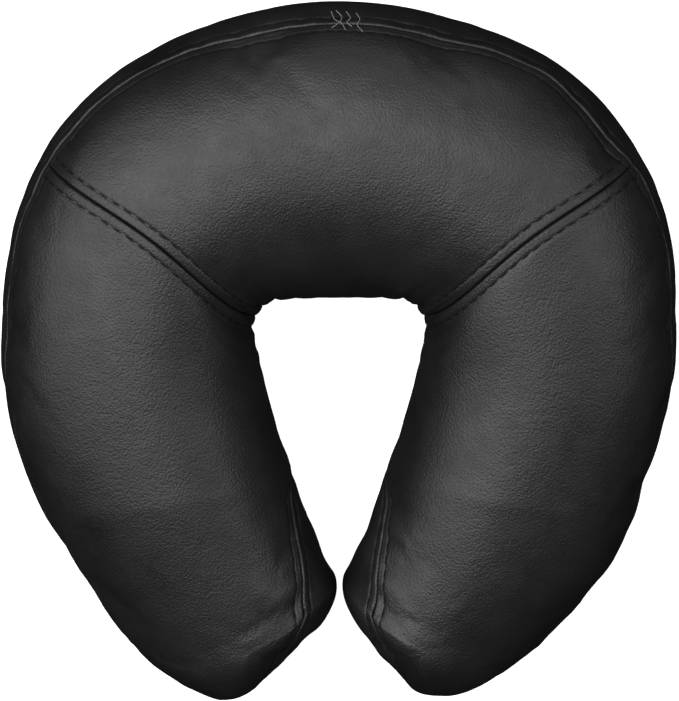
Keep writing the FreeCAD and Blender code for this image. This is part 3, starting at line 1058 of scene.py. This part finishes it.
def zip_coil(name, side, phase):
    """Nylon filament wound in flattened loops along the tape's edge."""
    turns = int(2 * COIL_HALF / COIL_PITCH) - 1
    per_turn = 10
    t = np.arange(turns * per_turn + 1) / per_turn
    angle = 2.0 * math.pi * t + phase
    x = -COIL_HALF + 0.6 + t * COIL_PITCH + 0.18 * np.sin(angle)
    y = ZIP_Y + side * (COIL_Y + COIL_SWING * np.sign(np.cos(angle)) * np.abs(np.cos(angle)) ** 0.7)
    z = COIL_Z + COIL_RISE * np.sin(angle)
    tubes = Tubes(6)
    tubes.add(np.stack([x, y, z], -1), COIL_THREAD)
    return tubes.mesh(name)


front_tape, rear_tape = zip_tape("front_tape", -1.0), zip_tape("rear_tape", 1.0)
front_coil, rear_coil = zip_coil("front_coil", -1.0, 0.0), zip_coil("rear_coil", 1.0, math.pi)
zip_thread = Tubes()
for y in (ZIP_Y - SLOT[1] - 1.9, ZIP_Y + SLOT[1] + 1.9):
    x = np.linspace(-SLOT[0] - 2.0, SLOT[0] + 2.0, 160)
    path = np.stack([x, np.full_like(x, y), np.full_like(x, base_z)], -1)
    sew(zip_thread, path, np.tile([0.0, 0.0, -1.0], (160, 1)), 3.4, 2.6, 0.22, 0.15)
zip_stitching = zip_thread.mesh("zip_topstitch")


# ---- camera, lights and floor ----


def aim(obj, target):
    direction = Vector(target) - obj.location
    obj.rotation_euler = direction.to_track_quat("-Z", "Y").to_euler()


def area_light(name, location, size, power, target=(0.0, 0.0, 0.04)):
    data = bpy.data.lights.new(name, "AREA")
    data.shape = "RECTANGLE"
    data.size, data.size_y = size
    data.energy = power
    light = add_object(name, data)
    light.location = location
    aim(light, target)


area_light("overhead", (-0.15, 0.22, 1.4), (1.1, 0.9), 11.5)
area_light("key", (-0.95, 0.25, 1.0), (1.2, 1.2), 10.5)
area_light("brow_fill", (0.2, 1.0, 0.75), (0.9, 0.5), 1.5)
area_light("right_fill", (0.95, 0.2, 1.1), (0.7, 0.7), 4.0)

world = bpy.data.worlds.new("world")
bpy.context.scene.world = world
world.use_nodes = True
world.node_tree.nodes["Background"].inputs[0].default_value = (0.9, 0.92, 0.95, 1)
world.node_tree.nodes["Background"].inputs[1].default_value = 0.012
bpy.context.scene.view_settings.view_transform = "Standard"

floor_mesh = bpy.data.meshes.new("floor")
floor_mesh.from_pydata([(-4, -4, 0), (4, -4, 0), (4, 4, 0), (-4, 4, 0)], [], [(0, 1, 2, 3)])
floor = add_object("floor", floor_mesh)
floor.location.z = -0.0005
floor.visible_glossy = False
floor.visible_diffuse = False

# ---- materials ----


class Shader:
    """A node material with short ways to add its parts."""

    def __init__(self, name, **values):
        self.material = bpy.data.materials.new(name)
        self.material.use_nodes = True
        self.tree = self.material.node_tree
        self.main = self.tree.nodes["Principled BSDF"]
        for key, value in values.items():
            self.main.inputs[key.replace("_", " ")].default_value = value
        self.place = self.node("ShaderNodeTexCoord").outputs["Object"]
        self.height = None

    def node(self, kind, **settings):
        made = self.tree.nodes.new(kind)
        for key, value in settings.items():
            setattr(made, key, value)
        return made

    def link(self, source, target):
        self.tree.links.new(source, target)

    def noise(self, scale, detail=3.0, roughness=0.55, stretch=(1, 1, 1)):
        texture = self.node("ShaderNodeTexNoise")
        texture.inputs["Scale"].default_value = scale
        texture.inputs["Detail"].default_value = detail
        texture.inputs["Roughness"].default_value = roughness
        self.link(self.mapped(stretch), texture.inputs["Vector"])
        return texture.outputs["Fac"]

    def cells(self, scale, feature="F1", stretch=(1, 1, 1), randomness=1.0):
        texture = self.node("ShaderNodeTexVoronoi", feature=feature)
        texture.inputs["Scale"].default_value = scale
        texture.inputs["Randomness"].default_value = randomness
        self.link(self.mapped(stretch), texture.inputs["Vector"])
        return texture.outputs["Distance"]

    def wave(self, scale, direction="X", distortion=0.0, turn=0.0):
        mapping = self.node("ShaderNodeMapping")
        mapping.inputs["Rotation"].default_value = (0.0, 0.0, turn)
        self.link(self.place, mapping.inputs["Vector"])
        texture = self.node("ShaderNodeTexWave", bands_direction=direction)
        texture.inputs["Scale"].default_value = scale
        texture.inputs["Distortion"].default_value = distortion
        self.link(mapping.outputs["Vector"], texture.inputs["Vector"])
        return texture.outputs["Fac"]

    def mapped(self, stretch):
        if stretch == (1, 1, 1):
            return self.place
        mapping = self.node("ShaderNodeMapping")
        mapping.inputs["Scale"].default_value = stretch
        self.link(self.place, mapping.inputs["Vector"])
        return mapping.outputs["Vector"]

    def span(self, source, low, high, from_low=0.0, from_high=1.0):
        limits = self.node("ShaderNodeMapRange")
        for key, value in (
            ("From Min", from_low), ("From Max", from_high), ("To Min", low), ("To Max", high)
        ):
            limits.inputs[key].default_value = value
        self.link(source, limits.inputs["Value"])
        return limits.outputs["Result"]

    def math(self, operation, a, b):
        node = self.node("ShaderNodeMath", operation=operation)
        for socket, value in zip(node.inputs, (a, b)):
            if isinstance(value, (int, float)):
                socket.default_value = value
            else:
                self.link(value, socket)
        return node.outputs[0]

    def colour(self, source, stops):
        ramp_node = self.node("ShaderNodeValToRGB")
        elements = ramp_node.color_ramp.elements
        while len(elements) < len(stops):
            elements.new(0.5)
        for element, (position, colour) in zip(elements, stops):
            element.position = position
            element.color = (*colour, 1.0)
        self.link(source, ramp_node.inputs["Fac"])
        self.link(ramp_node.outputs["Color"], self.main.inputs["Base Color"])

    def rough(self, source, low, high, from_low=0.3, from_high=0.7):
        self.link(self.span(source, low, high, from_low, from_high), self.main.inputs["Roughness"])

    def relief(self, source, distance, strength=1.0):
        node = self.node("ShaderNodeBump")
        node.inputs["Distance"].default_value = distance * MM
        node.inputs["Strength"].default_value = strength
        self.link(source, node.inputs["Height"])
        if self.height is not None:
            self.link(self.height, node.inputs["Normal"])
        self.height = node.outputs["Normal"]
        self.link(self.height, self.main.inputs["Normal"])


def leather_shader():
    shader = Shader("black_imitation_leather", Specular_IOR_Level=0.5, Coat_Weight=0.0)
    patches = shader.noise(26.0, 4.0)
    shader.colour(patches, ((0.3, (0.008, 0.008, 0.0085)), (0.75, (0.018, 0.018, 0.019))))
    shader.rough(shader.noise(90.0, 5.0), 0.38, 0.48)
    pebbles = shader.cells(1150.0, "SMOOTH_F1")
    shader.relief(shader.span(pebbles, 1.0, 0.0, 0.0, 0.75), 0.17, 0.7)
    shader.relief(shader.noise(2100.0, 2.0), 0.03, 0.4)
    shader.relief(shader.noise(150.0, 2.0), 0.05, 0.5)
    return shader.material


def thread_shader(name, low, high, sheen=0.25):
    shader = Shader(name, Roughness=0.75, Sheen_Weight=sheen, Specular_IOR_Level=0.2 + sheen)
    shader.colour(shader.noise(300.0), ((0.3, low), (0.7, high)))
    shader.relief(shader.wave(700.0, "DIAGONAL", 2.0), 0.08, 0.6)
    return shader.material


def fabric_shader(name, low, high, weave, roughness=0.9, turn=0.0):
    shader = Shader(name, Sheen_Weight=0.3, Sheen_Roughness=0.5)
    shader.colour(shader.noise(140.0, 5.0), ((0.3, low), (0.7, high)))
    shader.rough(shader.noise(400.0), roughness - 0.08, min(1.0, roughness + 0.06))
    over = shader.math("MULTIPLY", shader.wave(weave, "X", 0.4, turn), shader.wave(weave, "Y", 0.4, turn))
    shader.relief(over, 0.12, 0.7)
    shader.relief(shader.noise(1500.0, 3.0), 0.08, 0.5)
    return shader.material


def foam_shader(name, low, high):
    shader = Shader(name, Roughness=0.95)
    shader.colour(shader.noise(60.0), ((0.3, low), (0.7, high)))
    shader.rough(shader.noise(300.0), 0.88, 1.0)
    shader.relief(shader.cells(700.0), 0.5, 0.8)
    return shader.material


def metal_shader():
    shader = Shader("black_enamel", Metallic=0.0, Coat_Weight=0.4, Coat_Roughness=0.2)
    worn = shader.noise(900.0, 6.0)
    shader.colour(worn, ((0.55, (0.018, 0.018, 0.02)), (0.8, (0.10, 0.10, 0.105))))
    shader.rough(shader.noise(500.0), 0.28, 0.5)
    shader.relief(shader.noise(1800.0), 0.02, 0.5)
    return shader.material


def nylon_shader():
    shader = Shader("black_nylon")
    shader.colour(shader.noise(500.0), ((0.3, (0.014, 0.014, 0.015)), (0.7, (0.03, 0.03, 0.032))))
    shader.rough(shader.noise(700.0), 0.3, 0.48)
    shader.relief(shader.noise(2500.0), 0.02, 0.5)
    return shader.material


def floor_shader():
    shader = Shader("pale_floor", Roughness=0.9)
    shader.colour(shader.noise(3.0), ((0.3, (0.94, 0.94, 0.94)), (0.7, (0.97, 0.97, 0.97))))
    shader.main.inputs["Emission Color"].default_value = (1.0, 1.0, 1.0, 1.0)
    shader.main.inputs["Emission Strength"].default_value = 0.9
    return shader.material


floor_mesh.materials.append(floor_shader())
LEATHER = leather_shader()
BLACK_THREAD = thread_shader("black_thread", (0.001, 0.001, 0.001), (0.004, 0.004, 0.004), 0.0)
GREY_THREAD = thread_shader("grey_thread", (0.16, 0.16, 0.165), (0.30, 0.30, 0.31))
BRUSHED = fabric_shader("brushed_fabric", (0.012, 0.012, 0.013), (0.026, 0.026, 0.028), 260.0)
STRIP_BACKING = fabric_shader("strip_backing", (0.010, 0.010, 0.011), (0.022, 0.022, 0.024), 420.0)
LOOPS = thread_shader("loop_fibre", (0.012, 0.012, 0.013), (0.035, 0.035, 0.037))
TAPE = fabric_shader("zip_tape_weave", (0.010, 0.010, 0.011), (0.024, 0.024, 0.026), 520.0)
WADDING = foam_shader("wadding", (0.72, 0.72, 0.70), (0.86, 0.86, 0.84))
SOFT_FOAM = foam_shader("soft_foam", (0.80, 0.77, 0.66), (0.88, 0.86, 0.77))
FIRM_FOAM = foam_shader("firm_foam", (0.48, 0.50, 0.53), (0.58, 0.60, 0.63))
ENAMEL = metal_shader()
NYLON = nylon_shader()


def finish_piece(piece, material, slot, *nodes, body="cushion", fill=None):
    piece.data.materials.clear()
    piece.data.materials.append(material)
    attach(piece, body)
    if nodes:
        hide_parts(*nodes)


COVER_NODES = {
    "brow_cover": "brow_panel",
    "right_cheek_cover": "right_cheek_panel",
    "left_cheek_cover": "left_cheek_panel",
    "boxing_cover": "side_boxing",
}
for name, node in COVER_NODES.items():
    finish_piece(cover[name], LEATHER, "cover", node, fill=0.85)
finish_piece(underside, BRUSHED, "base_fabric", "bottom_panel")
finish_piece(wrap, WADDING, "wadding", "fibre_wrap", fill=0.8)
finish_piece(soft_foam, SOFT_FOAM, "soft_foam", "comfort_foam", fill=0.9)
finish_piece(firm_foam, FIRM_FOAM, "firm_foam", "base_foam", fill=1.0)
finish_piece(perimeter_stitching, BLACK_THREAD, "cover")
finish_piece(cheek_stitching, BLACK_THREAD, "cover")
finish_piece(thread_ends, GREY_THREAD, "cover")
finish_piece(strip_stitching, BLACK_THREAD, "loop_tape")
finish_piece(zip_stitching, BLACK_THREAD, "base_fabric")
for name, (node, *_) in STRIPS.items():
    finish_piece(strips[name], STRIP_BACKING, "loop_tape", node)
    finish_piece(piles[name + "_pile"], LOOPS, "loop_tape")
finish_piece(front_tape, TAPE, "zip_tape", "zip_tape_front")
finish_piece(rear_tape, TAPE, "zip_tape", "zip_tape_rear")
finish_piece(front_coil, NYLON, "zip_coil", "zip_coil_front")
finish_piece(rear_coil, NYLON, "zip_coil", "zip_coil_rear")
for node in ("zip_top_stops", "zip_bottom_stop", "zip_slider", "zip_pull"):
    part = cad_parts[node]
    for index in range(len(part.material_slots)):
        part.material_slots[index].material = ENAMEL
